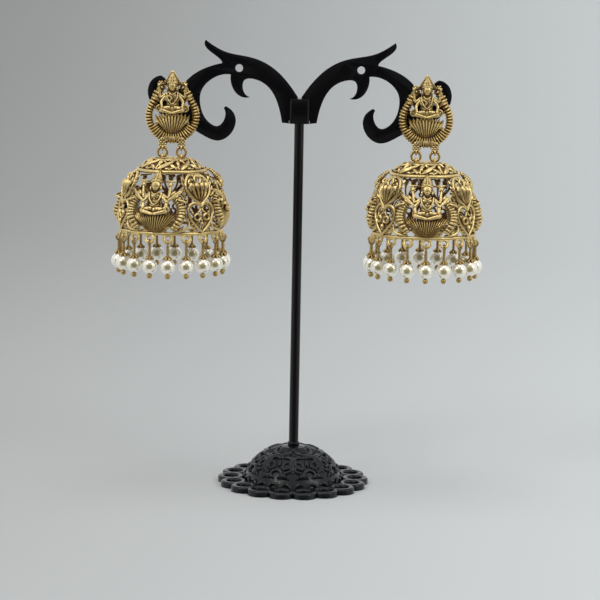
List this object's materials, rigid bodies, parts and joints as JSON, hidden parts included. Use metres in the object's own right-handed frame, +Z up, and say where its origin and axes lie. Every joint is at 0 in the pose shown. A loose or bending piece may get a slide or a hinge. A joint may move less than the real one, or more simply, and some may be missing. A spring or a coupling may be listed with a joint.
{
  "type": "pair of jhumka earrings on an earring stand",
  "caption": "Pair of jhumka earrings with pierced bells and pearl drops, hanging from a small stand with two scroll arms.",
  "frame": {"origin": "centre of the stand's foot, on the surface that it stands on", "axes": "+X to the right earring, +Z up, the earrings' fronts face -Y"},
  "size_m": [0.103, 0.0422, 0.1243],
  "materials": {
    "antique_gold": "antique plated, dark in the recesses",
    "gold_wire": "plated wire",
    "black_paint": "gloss black",
    "black_cast": "matte black on cast metal",
    "pearl": "nacre-coated imitation pearl"
  },
  "bodies": {
    "root": {"foot": "black_cast", "stem": "black_paint", "hub": "black_paint", "left_arm": "black_paint", "left_stud": "antique_gold", "left_back_nut": "gold_wire", "right_arm": "black_paint", "right_stud": "antique_gold", "right_back_nut": "gold_wire"},
    "left_bell_body": {"left_ring_a": "gold_wire", "left_ring_b": "gold_wire", "left_bell": "antique_gold", "left_pins": "gold_wire", "left_pearl_01": "pearl", "left_pearl_02": "pearl", "left_pearl_03": "pearl", "left_pearl_04": "pearl", "left_pearl_05": "pearl", "left_pearl_06": "pearl", "left_pearl_07": "pearl", "left_pearl_08": "pearl", "left_pearl_09": "pearl", "left_pearl_10": "pearl", "left_pearl_11": "pearl", "left_pearl_12": "pearl", "left_pearl_13": "pearl", "left_pearl_14": "pearl", "left_pearl_15": "pearl", "left_pearl_16": "pearl", "left_pearl_17": "pearl", "left_pearl_18": "pearl"},
    "right_bell_body": {"right_ring_a": "gold_wire", "right_ring_b": "gold_wire", "right_bell": "antique_gold", "right_pins": "gold_wire", "right_pearl_01": "pearl", "right_pearl_02": "pearl", "right_pearl_03": "pearl", "right_pearl_04": "pearl", "right_pearl_05": "pearl", "right_pearl_06": "pearl", "right_pearl_07": "pearl", "right_pearl_08": "pearl", "right_pearl_09": "pearl", "right_pearl_10": "pearl", "right_pearl_11": "pearl", "right_pearl_12": "pearl", "right_pearl_13": "pearl", "right_pearl_14": "pearl", "right_pearl_15": "pearl", "right_pearl_16": "pearl", "right_pearl_17": "pearl", "right_pearl_18": "pearl"}
  },
  "joints": [
    {"name": "left_bell_swing", "type": "hinge", "parent": "root", "child": "left_bell_body", "pos_m": [-0.035, -0.0022, 0.0946], "axis": [1, 0, 0], "range_deg": [-30, 30]},
    {"name": "right_bell_swing", "type": "hinge", "parent": "root", "child": "right_bell_body", "pos_m": [0.035, -0.0022, 0.0946], "axis": [1, 0, 0], "range_deg": [-30, 30]}
  ]
}
